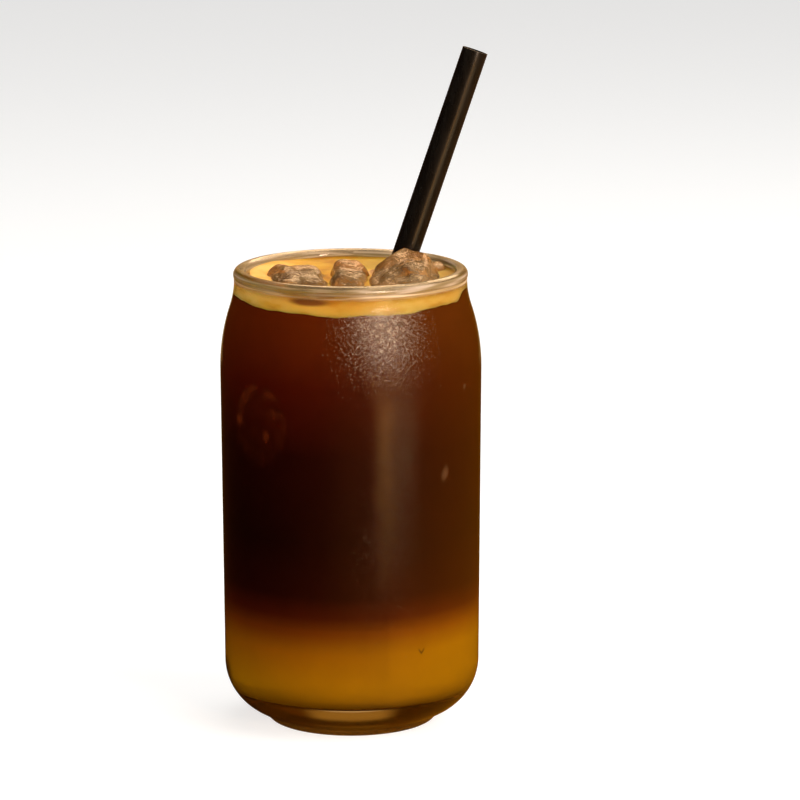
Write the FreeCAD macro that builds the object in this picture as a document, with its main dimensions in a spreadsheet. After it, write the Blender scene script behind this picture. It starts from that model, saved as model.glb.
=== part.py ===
import FreeCAD, Part
import math
import os
import Sketcher

# Espresso romano: a beaded can-shaped glass with three layers of drink, four
# lumps of ice that stand out of the crema, and a straw.
# Millimetres, +Z up. The origin is on the glass's axis, at the plane of its foot.

V = FreeCAD.Vector

sizes = {
    # glass, outside
    "glassHeight": 134.0,
    "footRadius": 25.0,
    "heelRadius": 1.6,
    "footRingInner": 22.0,
    "puntRadius": 19.5,
    "puntRise": 1.5,
    "coneSlope": 28.0,
    "cornerRadius": 16.0,
    "wallLowRadius": 37.3,
    "wallHighRadius": 37.96,
    "shoulderDrop": 29.5,
    "shoulderRadius": 57.0,
    "neckArcRadius": 25.5,
    "neckRadius": 33.75,
    "beadRadius": 1.95,
    "beadBulge": 0.25,
    # glass, inside
    "wallThickness": 2.2,
    "floorHeight": 11.0,
    "innerCornerRadius": 9.0,
    # drink
    "juiceTop": 34.5,
    "headspace": 2.5,
    "cremaDepth": 6.8,
    "cremaDome": 1.6,
    "rippleHeight": 0.25,
    "rippleLength": 19.0,
    # straw: the middle of its foot, and where its axis crosses the level of the drink
    "strawDiameter": 7.5,
    "strawWall": 0.3,
    "strawLength": 193.5,
    "strawFootX": -26.5,
    "strawFootY": 3.0,
    "strawFootHeight": 1.55,
    "strawLevelX": 14.3,
    "strawLevelY": 9.8,
    # ice: the share of a block's narrower side that melting has rounded off
    "iceMelt": 0.33,
    "iceWallGap": 0.3,
}

# Each block's sides, how far it stands out of the crema, the middle of its width,
# the line its back side keeps to, and how it has rolled.
iceBlocks = {
    "ice_left": {
        "Length": 16.5, "Width": 26.0, "Depth": 22.0, "Shows": 4.2,
        "MiddleX": -15.9, "BackY": 4.6, "Yaw": 6.0, "Pitch": 7.0, "Roll": 3.0,
    },
    "ice_middle": {
        "Length": 10.0, "Width": 26.0, "Depth": 20.0, "Shows": 4.1,
        "MiddleX": -1.0, "BackY": 4.5, "Yaw": -2.0, "Pitch": 5.0, "Roll": 2.0,
    },
    "ice_right": {
        "Length": 20.0, "Width": 25.0, "Depth": 22.0, "Shows": 7.1,
        "MiddleX": 16.9, "BackY": 3.8, "Yaw": -5.0, "Pitch": -22.0, "Roll": 4.0,
    },
    "ice_side": {
        "Length": 7.0, "Width": 8.5, "Depth": 14.0, "Shows": 3.2,
        "MiddleX": 22.7, "BackY": 13.65, "Yaw": -24.0, "Pitch": 8.0, "Roll": -6.0,
    },
}
for label, block in iceBlocks.items():
    for name, value in block.items():
        sizes[label.replace("_", "") + name] = value

doc = FreeCAD.newDocument("EspressoRomano")
sheet = doc.addObject("Spreadsheet::Sheet", "Sizes")
for row, (name, value) in enumerate(sizes.items(), start=1):
    sheet.set("A%d" % row, name)
    sheet.set("B%d" % row, str(value))
    sheet.setAlias("B%d" % row, name)
doc.recompute()


def size(name):
    return float(sheet.get(name))


def originPlane(body, role):
    return next(f for f in body.Origin.OriginFeatures if f.Role == role)


def newSketch(body, name, role):
    sketch = body.newObject("Sketcher::SketchObject", name)
    sketch.AttachmentSupport = (originPlane(body, role), [""])
    sketch.MapMode = "FlatFace"
    return sketch


def drive(sketch, kind, where, name, expression):
    """Add a dimension, name it and bind it to the sheet."""
    rough = sketch.evalExpression(expression)
    rough = getattr(rough, "Value", rough)
    index = sketch.addConstraint(Sketcher.Constraint(kind, *where, rough))
    sketch.renameConstraint(index, name)
    sketch.setExpression("Constraints." + name, expression)


def line(sketch, start, end):
    return sketch.addGeometry(Part.LineSegment(V(*start, 0), V(*end, 0)), False)


def arc(sketch, centre, radius, fromDegrees, toDegrees):
    circle = Part.Circle(V(*centre, 0), V(0, 0, 1), radius)
    sweep = Part.ArcOfCircle(circle, math.radians(fromDegrees), math.radians(toDegrees))
    return sketch.addGeometry(sweep, False)


START, END, CENTRE = 1, 2, 3
ORIGIN = (-1, 1)
UPRIGHT_AXIS = -2


def join(sketch, one, onePoint, two, twoPoint, smooth=False):
    kind = "Tangent" if smooth else "Coincident"
    sketch.addConstraint(Sketcher.Constraint(kind, one, onePoint, two, twoPoint))


# ---- glass: one closed section, turned about the upright axis ----

glass = doc.addObject("PartDesign::Body", "glass")
glass.Label = "glass"
section = newSketch(glass, "GlassSection", "XZ_Plane")

# The places given here are only where the solver starts; the joins and the
# dimensions after them fix the section.
height = size("glassHeight")
shoulderZ = height - size("shoulderDrop")
wall = size("wallThickness")
lowR = size("wallLowRadius")
highR = size("wallHighRadius")
cornerR = size("cornerRadius")
shoulderR = size("shoulderRadius")
neckArcR = size("neckArcRadius")
neckR = size("neckRadius")
beadR = size("beadRadius")
floorZ = size("floorHeight")
innerR = size("innerCornerRadius")
shoulderTurn = 18
coneTurn = size("coneSlope")
heelR = size("heelRadius")
footR = size("footRadius")

punt = line(section, (0, size("puntRise")), (size("puntRadius"), size("puntRise")))
puntSide = line(section, (size("puntRadius"), size("puntRise")), (size("footRingInner"), 0))
footRing = line(section, (size("footRingInner"), 0), (footR - heelR, 0))
heel = arc(section, (footR - heelR, heelR), heelR, 270, 360)
coneEnd = (
    lowR - cornerR + cornerR * math.sin(math.radians(coneTurn)),
    cornerR + heelR - cornerR * math.cos(math.radians(coneTurn)),
)
cone = line(section, (footR, heelR), coneEnd)
corner = arc(section, (lowR - cornerR, cornerR + heelR), cornerR, 270 + coneTurn, 360)
outerWall = line(section, (lowR, cornerR + heelR), (highR, shoulderZ))
shoulder = arc(section, (highR - shoulderR, shoulderZ), shoulderR, 0, shoulderTurn)
neckCentre = (neckR + neckArcR, height - 2 * beadR)
neck = arc(section, neckCentre, neckArcR, 178, 180 + shoulderTurn)
beadCentre = (neckR + size("beadBulge") - beadR, height - beadR)
bead = arc(section, beadCentre, beadR, -30, 255)
innerNeck = arc(section, neckCentre, neckArcR + wall, 180, 180 + shoulderTurn)
innerShoulder = arc(section, (highR - shoulderR, shoulderZ), shoulderR - wall, 0, shoulderTurn)
innerWall = line(section, (highR - wall, shoulderZ), (lowR - wall, floorZ + innerR))
innerCorner = arc(section, (lowR - wall - innerR, floorZ + innerR), innerR, 270, 360)
floor = line(section, (lowR - wall - innerR, floorZ), (0, floorZ))
core = line(section, (0, floorZ), (0, size("puntRise")))

join(section, punt, END, puntSide, START)
join(section, puntSide, END, footRing, START)
join(section, footRing, END, heel, START, smooth=True)
join(section, heel, END, cone, START)
join(section, cone, END, corner, START, smooth=True)
join(section, corner, END, outerWall, START, smooth=True)
join(section, outerWall, END, shoulder, START, smooth=True)
join(section, shoulder, END, neck, END, smooth=True)
join(section, neck, START, bead, START)
join(section, bead, END, innerNeck, START)
join(section, innerNeck, END, innerShoulder, END, smooth=True)
join(section, innerShoulder, START, innerWall, START, smooth=True)
join(section, innerWall, END, innerCorner, END, smooth=True)
join(section, innerCorner, START, floor, START, smooth=True)
join(section, floor, END, core, START)
join(section, core, END, punt, START)
section.addConstraint([
    Sketcher.Constraint("Horizontal", punt),
    Sketcher.Constraint("Horizontal", footRing),
    Sketcher.Constraint("Horizontal", floor),
    Sketcher.Constraint("Horizontal", heel, END, heel, CENTRE),
    Sketcher.Constraint("PointOnObject", punt, START, UPRIGHT_AXIS),
    Sketcher.Constraint("PointOnObject", floor, END, UPRIGHT_AXIS),
    Sketcher.Constraint("Coincident", innerNeck, CENTRE, neck, CENTRE),
    Sketcher.Constraint("Coincident", innerShoulder, CENTRE, shoulder, CENTRE),
])

drive(section, "DistanceY", (*ORIGIN, punt, START), "puntRise", "Sizes.puntRise")
drive(section, "DistanceX", (*ORIGIN, punt, END), "puntRadius", "Sizes.puntRadius")
drive(section, "DistanceX", (*ORIGIN, footRing, START), "footRingInner", "Sizes.footRingInner")
section.addConstraint(Sketcher.Constraint("PointOnObject", footRing, START, -1))
drive(section, "DistanceX", (*ORIGIN, heel, END), "footRadius", "Sizes.footRadius")
drive(section, "Radius", (heel,), "heelRadius", "Sizes.heelRadius")
drive(section, "Angle", (cone,), "coneSlope", "Sizes.coneSlope * 1 deg")
drive(section, "Radius", (corner,), "cornerRadius", "Sizes.cornerRadius")
drive(section, "DistanceX", (*ORIGIN, outerWall, START), "wallLow", "Sizes.wallLowRadius")
drive(section, "DistanceX", (*ORIGIN, outerWall, END), "wallHigh", "Sizes.wallHighRadius")
drive(section, "DistanceY", (*ORIGIN, outerWall, END), "shoulderStart",
      "Sizes.glassHeight - Sizes.shoulderDrop")
drive(section, "Radius", (shoulder,), "shoulderRadius", "Sizes.shoulderRadius")
drive(section, "Radius", (neck,), "neckArcRadius", "Sizes.neckArcRadius")
drive(section, "DistanceX", (*ORIGIN, neck, CENTRE), "neckRadius",
      "Sizes.neckRadius + Sizes.neckArcRadius")
drive(section, "Radius", (bead,), "beadRadius", "Sizes.beadRadius")
drive(section, "DistanceX", (*ORIGIN, bead, CENTRE), "beadX",
      "Sizes.neckRadius + Sizes.beadBulge - Sizes.beadRadius")
drive(section, "DistanceY", (*ORIGIN, bead, CENTRE), "beadZ",
      "Sizes.glassHeight - Sizes.beadRadius")
drive(section, "Radius", (innerShoulder,), "wallThickness",
      "Sizes.shoulderRadius - Sizes.wallThickness")
drive(section, "Radius", (innerCorner,), "innerCorner", "Sizes.innerCornerRadius")
drive(section, "DistanceY", (*ORIGIN, floor, END), "floorHeight", "Sizes.floorHeight")
section.addConstraint(Sketcher.Constraint("Parallel", innerWall, outerWall))

turned = glass.newObject("PartDesign::Revolution", "GlassTurned")
turned.Profile = section
turned.ReferenceAxis = (section, ["V_Axis"])
turned.Angle = 360
glass.Tip = turned
doc.recompute()


# ---- straw: a plain tube, its foot in the left corner of the floor ----

def straightTube(label, outer, bore, length):
    """A body with a ring padded up its own Z; both circles follow the sheet."""
    body = doc.addObject("PartDesign::Body", label)
    body.Label = label
    ring = newSketch(body, label + "Ring", "XY_Plane")
    for name, expression in (("outer", outer), ("bore", bore)):
        circle = ring.addGeometry(Part.Circle(V(0, 0, 0), V(0, 0, 1), 1), False)
        join(ring, circle, CENTRE, *ORIGIN)
        drive(ring, "Diameter", (circle,), name, expression)
    tube = body.newObject("PartDesign::Pad", label + "Tube")
    tube.Profile = ring
    tube.setExpression("Length", length)
    body.Tip = tube
    return body


straw = straightTube(
    "straw",
    "Sizes.strawDiameter",
    "Sizes.strawDiameter - 2 * Sizes.strawWall",
    "Sizes.strawLength",
)
level = height - size("headspace")
strawR = size("strawDiameter") / 2
strawFoot = V(size("strawFootX"), size("strawFootY"), floorZ + size("strawFootHeight"))
strawAlong = (V(size("strawLevelX"), size("strawLevelY"), level) - strawFoot).normalize()
straw.Placement = FreeCAD.Placement(strawFoot, FreeCAD.Rotation(V(0, 0, 1), strawAlong))
doc.recompute()


# ---- ice: half-melted blocks, tilted so that a rounded corner stands out ----

# No block reaches past this cylinder, which just clears the narrowest part of the mouth.
iceRoom = doc.addObject("Part::Cylinder", "IceRoom")
iceRoom.setExpression(
    "Radius",
    "Sizes.neckRadius + Sizes.beadBulge - 2 * Sizes.beadRadius - Sizes.iceWallGap",
)
iceRoom.setExpression("Height", "Sizes.glassHeight + 2 * Sizes.headspace")


def iceLump(label):
    """A block with melted edges; its highest point stands `Shows` over the crema."""
    key = label.replace("_", "")
    body = doc.addObject("PartDesign::Body", label + "Body")
    block = body.newObject("PartDesign::AdditiveBox", label + "Block")
    block.setExpression("Length", "Sizes.%sLength" % key)
    block.setExpression("Width", "Sizes.%sWidth" % key)
    block.setExpression("Height", "Sizes.%sDepth" % key)
    body.Tip = block
    doc.recompute()
    melted = body.newObject("PartDesign::Fillet", label + "Melted")
    melted.Base = (block, ["Edge%d" % (i + 1) for i in range(len(block.Shape.Edges))])
    melted.setExpression(
        "Radius",
        "Sizes.iceMelt * min(Sizes.%sLength; Sizes.%sWidth)" % (key, key),
    )
    body.Tip = melted
    turn = FreeCAD.Rotation(size(key + "Yaw"), size(key + "Pitch"), size(key + "Roll"))
    half = V(size(key + "Length"), size(key + "Width"), size(key + "Depth")) * 0.5
    middle = V(size(key + "MiddleX"), size(key + "BackY") - half.y, 0)
    body.Placement = FreeCAD.Placement(middle - turn.multVec(half), turn)
    doc.recompute()
    lift = level + size(key + "Shows") - body.Shape.optimalBoundingBox(False).ZMax
    body.Placement.Base += V(0, 0, lift)
    lump = doc.addObject("Part::Common", label)
    lump.Label = label
    lump.Base = body
    lump.Tool = iceRoom
    doc.recompute()
    return lump


ice = [iceLump(label) for label in iceBlocks]


# ---- drink: what the glass holds up to the level, parted into three layers ----

def feature(label, shape):
    if len(shape.Solids) != 1:
        raise RuntimeError("%s is %d solids" % (label, len(shape.Solids)))
    made = doc.addObject("Part::Feature", label)
    made.Label = label
    made.Shape = shape.Solids[0]
    return made


def under(shapeTop):
    """Everything wide enough to fill the glass, from under its floor up to a height."""
    bottom = floorZ / 2
    return Part.makeCylinder(highR, shapeTop - bottom, V(0, 0, bottom))


def cremaUnderside():
    """A shallow dome with a ripple along X: the uneven lower edge of the foam."""
    low = level - size("cremaDepth")
    reach = 1.1 * highR
    steps = 16
    grid = []
    for i in range(steps + 1):
        x = reach * (2 * i / steps - 1)
        ripple = size("rippleHeight") * math.sin(2 * math.pi * x / size("rippleLength"))
        column = []
        for j in range(steps + 1):
            y = reach * (2 * j / steps - 1)
            dome = size("cremaDome") * math.cos(math.pi * y / (2 * reach))
            column.append(V(x, y, low + dome + ripple))
        grid.append(column)
    surface = Part.BSplineSurface()
    surface.interpolate(grid)
    return surface.toShape()


inGlass = under(level).cut(glass.Shape)
contents = next(s for s in inGlass.Solids if s.isInside(V(0, 0, level / 2), 1e-6, True))
strawRod = Part.makeCylinder(strawR, size("strawLength"), strawFoot, strawAlong)
for solid in [strawRod] + [lump.Shape for lump in ice]:
    contents = contents.cut(solid)

underCrema = cremaUnderside().extrude(V(0, 0, -height))
juiceSpace = under(size("juiceTop"))
layers = [
    feature("juice", contents.common(juiceSpace)),
    feature("coffee", contents.common(underCrema).cut(juiceSpace)),
    feature("crema", contents.cut(underCrema)),
]
doc.recompute()

for thing in doc.Objects:
    if "Invalid" in thing.State or "Error" in thing.State:
        raise RuntimeError("%s did not recompute" % thing.Name)

os.makedirs("parts", exist_ok=True)
for node in [glass, straw] + ice + layers:
    if node.Shape.isNull() or not node.Shape.isValid():
        raise RuntimeError("%s has no valid shape" % node.Label)
    node.Shape.exportStep("parts/%s.step" % node.Label)
    print("%-10s %9.1f mm3" % (node.Label, node.Shape.Volume))
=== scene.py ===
import math
import random

import bmesh
import bpy
from mathutils import Euler, Matrix, Vector, noise
from mathutils.bvhtree import BVHTree


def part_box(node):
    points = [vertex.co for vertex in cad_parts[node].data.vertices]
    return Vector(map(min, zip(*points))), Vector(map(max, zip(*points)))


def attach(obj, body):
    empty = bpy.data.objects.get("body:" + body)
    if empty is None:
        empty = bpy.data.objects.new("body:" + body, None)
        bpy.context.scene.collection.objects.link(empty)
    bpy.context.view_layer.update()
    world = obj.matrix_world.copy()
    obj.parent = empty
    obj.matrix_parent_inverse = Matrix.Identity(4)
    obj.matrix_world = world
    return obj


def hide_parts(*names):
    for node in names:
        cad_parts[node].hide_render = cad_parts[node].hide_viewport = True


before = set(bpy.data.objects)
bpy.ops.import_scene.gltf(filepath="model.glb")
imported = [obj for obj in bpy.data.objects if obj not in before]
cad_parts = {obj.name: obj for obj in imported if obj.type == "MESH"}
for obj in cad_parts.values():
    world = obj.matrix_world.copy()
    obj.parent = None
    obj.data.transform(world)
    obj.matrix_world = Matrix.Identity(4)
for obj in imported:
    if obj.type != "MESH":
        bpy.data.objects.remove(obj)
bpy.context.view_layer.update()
mm = 0.001
print("frame: %d nodes" % len(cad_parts))

scene = bpy.context.scene
scene.view_settings.view_transform = "Standard"
scene.view_settings.look = "None"


def keepMesh(bm, name, node=None, slot=None, smooth=True, sharpOver=None):
    mesh = bpy.data.meshes.new(name)
    bm.to_mesh(mesh)
    bm.free()
    if smooth:
        mesh.shade_smooth()
    if sharpOver:
        mesh.set_sharp_from_angle(angle=math.radians(sharpOver))
    piece = bpy.data.objects.new(name, mesh)
    scene.collection.objects.link(piece)
    if slot:
        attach(piece, "root")
    if node:
        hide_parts(node)
    return piece


def soft(value, start, end):
    # smooth step from start to end, either way round
    t = min(max((value - start) / (end - start), 0), 1)
    return t * t * (3 - 2 * t)


def startProfile(x, z):
    bm = bmesh.new()
    return bm, bm.verts.new((x * mm, 0, z * mm))


def runTo(bm, vert, x, z, cuts=0):
    # a straight run, in equal steps
    start = vert.co.copy()
    end = Vector((x * mm, 0, z * mm))
    for i in range(cuts + 1):
        new = bmesh.ops.extrude_vert_indiv(bm, verts=[vert])["verts"][0]
        new.co = start.lerp(end, (i + 1) / (cuts + 1))
        vert = new
    return vert


def bendTo(bm, vert, centreX, centreZ, turn, steps):
    # an arc about a centre; a positive turn is anticlockwise, in degrees
    done = bmesh.ops.spin(
        bm, geom=[vert], cent=(centreX * mm, 0, centreZ * mm), axis=(0, 1, 0),
        angle=-math.radians(turn), steps=steps, use_duplicate=False)
    return [g for g in done["geom_last"] if isinstance(g, bmesh.types.BMVert)][0]


def turnProfile(bm, segments):
    # the profile goes once round the upright axis
    bmesh.ops.spin(
        bm, geom=bm.verts[:] + bm.edges[:], cent=(0, 0, 0), axis=(0, 0, 1),
        angle=2 * math.pi, steps=segments, use_merge=True, use_duplicate=False)
    bmesh.ops.remove_doubles(bm, verts=bm.verts[:], dist=1e-6)
    bmesh.ops.recalc_face_normals(bm, faces=bm.faces[:])


def newMaterial(name):
    made = bpy.data.materials.new(name)
    made.use_nodes = True
    tree = made.node_tree
    shader = tree.nodes["Principled BSDF"]
    return made, tree, shader


def add(tree, kind, **settings):
    node = tree.nodes.new(kind)
    for key, value in settings.items():
        if key in node.inputs:
            node.inputs[key].default_value = value
        else:
            setattr(node, key, value)
    return node


def ramp(tree, factor, stops, interpolation="EASE"):
    node = tree.nodes.new("ShaderNodeValToRGB")
    node.color_ramp.interpolation = interpolation
    elements = node.color_ramp.elements
    while len(elements) < len(stops):
        elements.new(0.5)
    for element, (place, colour) in zip(elements, stops):
        element.position = place
        element.color = (*colour, 1)
    tree.links.new(factor, node.inputs["Fac"])
    return node.outputs["Color"]


def srgb(r, g, b):
    # screen values 0-255 to scene values
    def one(c):
        c /= 255
        return c / 12.92 if c <= 0.04045 else ((c + 0.055) / 1.055) ** 2.4
    return one(r), one(g), one(b)


def newGroup(name, inputs, outputs):
    group = bpy.data.node_groups.new(name, "ShaderNodeTree")
    for label, kind, value in inputs:
        socket = group.interface.new_socket(label, in_out="INPUT", socket_type=kind)
        socket.default_value = value
    for label, kind in outputs:
        group.interface.new_socket(label, in_out="OUTPUT", socket_type=kind)
    return group, group.nodes.new("NodeGroupInput"), group.nodes.new("NodeGroupOutput")


def useGroup(tree, group, **values):
    node = tree.nodes.new("ShaderNodeGroup")
    node.node_tree = group
    for key, value in values.items():
        node.inputs[key].default_value = value
    return node


def feed(tree, socket, value):
    # a socket takes either a link or a constant
    if isinstance(value, bpy.types.NodeSocket):
        tree.links.new(value, socket)
    else:
        socket.default_value = value


def fromTo(tree, value, low, high, kind="SMOOTHSTEP"):
    # 0 at low and 1 at high, either way round
    node = add(tree, "ShaderNodeMapRange", interpolation_type=kind)
    node.inputs["From Min"].default_value = low
    node.inputs["From Max"].default_value = high
    tree.links.new(value, node.inputs["Value"])
    return node


def product(tree, one, other):
    node = add(tree, "ShaderNodeMath", operation="MULTIPLY")
    tree.links.new(one, node.inputs[0])
    tree.links.new(other, node.inputs[1])
    return node


def colourMix(tree, factor, colour, other):
    node = add(tree, "ShaderNodeMix", data_type="RGBA")
    colourA, colourB = node.inputs[6], node.inputs[7]
    tree.links.new(factor, node.inputs["Factor"])
    feed(tree, colourA, colour)
    feed(tree, colourB, other)
    return node


def mirrorRays(tree, path):
    # 1 for what a mirror or clear glass sees, before any dull surface
    either = add(tree, "ShaderNodeMath", operation="MAXIMUM")
    tree.links.new(path.outputs["Is Glossy Ray"], either.inputs[0])
    tree.links.new(path.outputs["Is Transmission Ray"], either.inputs[1])
    direct = add(tree, "ShaderNodeMath", operation="LESS_THAN")
    direct.inputs[1].default_value = 0.5
    tree.links.new(path.outputs["Diffuse Depth"], direct.inputs[0])
    return product(tree, either.outputs[0], direct.outputs[0])


# cloudiness: soft noise in object space, as a mask and as a height
cloud, cloudIn, cloudOut = newGroup(
    "Cloudiness",
    [("Scale", "NodeSocketFloat", 100.0), ("Stretch", "NodeSocketVector", (1, 1, 1)),
     ("Low", "NodeSocketFloat", 0.35), ("High", "NodeSocketFloat", 0.65)],
    [("Mask", "NodeSocketFloat"), ("Height", "NodeSocketFloat")])
where = add(cloud, "ShaderNodeTexCoord")
pull = add(cloud, "ShaderNodeVectorMath", operation="MULTIPLY")
grain = add(cloud, "ShaderNodeTexNoise", Detail=3.0, Roughness=0.55)
spread = add(cloud, "ShaderNodeMapRange", interpolation_type="SMOOTHSTEP")
cloud.links.new(where.outputs["Object"], pull.inputs[0])
cloud.links.new(cloudIn.outputs["Stretch"], pull.inputs[1])
cloud.links.new(pull.outputs[0], grain.inputs["Vector"])
cloud.links.new(cloudIn.outputs["Scale"], grain.inputs["Scale"])
cloud.links.new(grain.outputs["Fac"], spread.inputs["Value"])
cloud.links.new(cloudIn.outputs["Low"], spread.inputs["From Min"])
cloud.links.new(cloudIn.outputs["High"], spread.inputs["From Max"])
cloud.links.new(spread.outputs["Result"], cloudOut.inputs["Mask"])
cloud.links.new(grain.outputs["Fac"], cloudOut.inputs["Height"])


cameraPlace = {"from": (0.01426, -1.26742, 0.35542), "lens": 199.96}
eye = bpy.data.cameras.new("eye")
eye.lens = cameraPlace["lens"]
eye.sensor_width = 36
eye.clip_start, eye.clip_end = 0.05, 20
eyeObject = bpy.data.objects.new("eye", eye)
scene.collection.objects.link(eyeObject)
right = Vector((1.0, -0.00027, -0.00132))
up = Vector((0.00135, 0.20152, 0.97948))
back = Vector((0, -0.97948, 0.20152))
eyeObject.matrix_world = Matrix.Translation(cameraPlace["from"]) @ Matrix(
    (right, up, back)).transposed().to_4x4()
scene.camera = eyeObject


def softBox(name, azimuth, elevation, distance, size, power, colour, mirrored=False):
    # azimuth 0 is the camera's side and 90 the right
    light = bpy.data.lights.new(name, "AREA")
    light.shape = "RECTANGLE"
    light.size, light.size_y = size
    light.energy = power
    light.color = colour
    a, e = math.radians(azimuth), math.radians(elevation)
    out = Vector((math.sin(a) * math.cos(e), -math.cos(a) * math.cos(e), math.sin(e)))
    lamp = bpy.data.objects.new(name, light)
    lamp.location = Vector((0, 0, 0.09)) + out * distance
    lamp.rotation_mode = "QUATERNION"
    lamp.rotation_quaternion = out.to_track_quat("Z", "Y")
    lamp.visible_glossy = mirrored
    lamp.visible_transmission = False
    scene.collection.objects.link(lamp)
    return lamp


softBox("key", 62, 26, 1.1, (0.8, 0.8), 17, (1.0, 0.95, 0.88))
softBox("window", 32, 19, 1.15, (0.18, 0.4), 5.5, (1.0, 0.76, 0.58), mirrored=True)
softBox("fill", -70, 20, 1.1, (0.8, 0.8), 7, (1.0, 0.95, 0.88))
softBox("top", 150, 62, 1.2, (0.8, 0.8), 8, (1.0, 0.97, 0.93))

# what mirrors and clear glass see of the room, from its left to its right
roomSides = [
    (0.0, (0.012, 0.003, 0.001)), (0.3, (0.03, 0.009, 0.001)), (0.5, (0.085, 0.032, 0.001)),
    (0.8, (0.12, 0.036, 0.001)), (1.0, (0.2, 0.075, 0.004))]

world = bpy.data.worlds.new("room")
scene.world = world
world.use_nodes = True
tree = world.node_tree
tree.nodes.clear()
path = add(tree, "ShaderNodeLightPath")
seen = add(tree, "ShaderNodeBackground", Color=(0.93, 0.93, 0.93, 1), Strength=1.0)
air = add(tree, "ShaderNodeBackground", Color=(1.0, 0.97, 0.93, 1), Strength=0.2)
warm = add(tree, "ShaderNodeBackground", Strength=1.0)
direction = add(tree, "ShaderNodeTexCoord")
split = add(tree, "ShaderNodeSeparateXYZ")
tree.links.new(direction.outputs["Generated"], split.inputs[0])
side = fromTo(tree, split.outputs["X"], -1.0, 1.0, "LINEAR")
level = ramp(tree, side.outputs["Result"], roomSides, "LINEAR")
overhead = ramp(tree, split.outputs["Z"], [
    (0.5, (0, 0, 0)), (0.75, (1, 1, 1))])
outside = add(tree, "ShaderNodeMath", operation="LESS_THAN")
outside.inputs[1].default_value = 0.5
tree.links.new(path.outputs["Transmission Depth"], outside.inputs[0])
first = product(tree, outside.outputs[0], path.outputs["Is Glossy Ray"])
above = product(tree, overhead, first.outputs[0])
ceiling = ramp(tree, side.outputs["Result"], [
    (0.0, (0.5, 0.36, 0.2)), (1.0, (1.9, 1.5, 1.1))], "LINEAR")
lifted = colourMix(tree, above.outputs[0], level, ceiling)
# the warm wall straight behind
aside = add(tree, "ShaderNodeMath", operation="ABSOLUTE")
tree.links.new(split.outputs["X"], aside.inputs[0])
narrow = fromTo(tree, aside.outputs[0], 0.32, 0.16)
rearward = fromTo(tree, split.outputs["Y"], 0.45, 0.8)
straight = product(tree, narrow.outputs["Result"], rearward.outputs["Result"])
wall = colourMix(tree, straight.outputs[0], lifted.outputs[2], (0.38, 0.215, 0.08, 1))
# a ceiling lamp, which glints in wet ice and along the rim
towards = add(tree, "ShaderNodeVectorMath", operation="DOT_PRODUCT")
towards.inputs[1].default_value = Vector((0.2, 0.65, 0.73)).normalized()
tree.links.new(direction.outputs["Generated"], towards.inputs[0])
disc = fromTo(tree, towards.outputs["Value"], 0.88, 0.95)
glint = product(tree, disc.outputs["Result"], first.outputs[0])
lamp = colourMix(tree, glint.outputs[0], wall.outputs[2], (4.6, 3.1, 1.8, 1))
tree.links.new(lamp.outputs[2], warm.inputs["Color"])
warm.inputs["Strength"].default_value = 1.4
mirrored = mirrorRays(tree, path)
lightMix = add(tree, "ShaderNodeMixShader")
tree.links.new(mirrored.outputs[0], lightMix.inputs["Fac"])
tree.links.new(air.outputs[0], lightMix.inputs[1])
tree.links.new(warm.outputs[0], lightMix.inputs[2])
seenMix = add(tree, "ShaderNodeMixShader")
tree.links.new(path.outputs["Is Camera Ray"], seenMix.inputs["Fac"])
tree.links.new(lightMix.outputs[0], seenMix.inputs[1])
tree.links.new(seen.outputs[0], seenMix.inputs[2])
worldOut = add(tree, "ShaderNodeOutputWorld")
tree.links.new(seenMix.outputs[0], worldOut.inputs["Surface"])

bm = bmesh.new()
bmesh.ops.create_grid(bm, x_segments=1, y_segments=1, size=4)
table = keepMesh(bm, "table", smooth=False)
# pale to the camera, and a dim wooden brown with one pool of light in every mirror
tableFinish, tree, shader = newMaterial("paleTable")
shader.inputs["Base Color"].default_value = (0.5, 0.5, 0.5, 1)
shader.inputs["Roughness"].default_value = 0.8
shader.inputs["Specular IOR Level"].default_value = 0.0
shader.inputs["Emission Color"].default_value = (1, 1, 1, 1)
shader.inputs["Emission Strength"].default_value = 0.62
path = add(tree, "ShaderNodeLightPath")
where = add(tree, "ShaderNodeTexCoord")
turned = add(tree, "ShaderNodeVectorRotate", rotation_type="Z_AXIS")
turned.inputs["Angle"].default_value = math.radians(-29.4)
tree.links.new(where.outputs["Object"], turned.inputs["Vector"])
spot = add(tree, "ShaderNodeSeparateXYZ")
tree.links.new(turned.outputs["Vector"], spot.inputs[0])
aside = add(tree, "ShaderNodeMath", operation="DIVIDE")
tree.links.new(spot.outputs["X"], aside.inputs[0])
tree.links.new(spot.outputs["Y"], aside.inputs[1])
offLine = add(tree, "ShaderNodeMath", operation="ABSOLUTE")
tree.links.new(aside.outputs[0], offLine.inputs[0])
narrow = fromTo(tree, offLine.outputs[0], 0.13, 0.0)
near = fromTo(tree, spot.outputs["Y"], -0.25, -0.46)
pool = product(tree, narrow.outputs["Result"], near.outputs["Result"])
whereabouts = add(tree, "ShaderNodeVectorMath", operation="NORMALIZE")
tree.links.new(where.outputs["Object"], whereabouts.inputs[0])
leftRight = add(tree, "ShaderNodeSeparateXYZ")
tree.links.new(whereabouts.outputs[0], leftRight.inputs[0])
side = fromTo(tree, leftRight.outputs["X"], -1.0, 1.0, "LINEAR")
wooden = ramp(tree, side.outputs["Result"], roomSides, "LINEAR")
away = add(tree, "ShaderNodeSeparateXYZ")
tree.links.new(where.outputs["Object"], away.inputs[0])
farOff = fromTo(tree, away.outputs["Y"], 0.5, 0.62)
offAxis = add(tree, "ShaderNodeMath", operation="ABSOLUTE")
tree.links.new(away.outputs["X"], offAxis.inputs[0])
straight = fromTo(tree, offAxis.outputs[0], 0.34, 0.18)
tanHere = product(tree, farOff.outputs["Result"], straight.outputs["Result"])
behind = colourMix(tree, tanHere.outputs[0], wooden, (0.26, 0.15, 0.04, 1))
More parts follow.
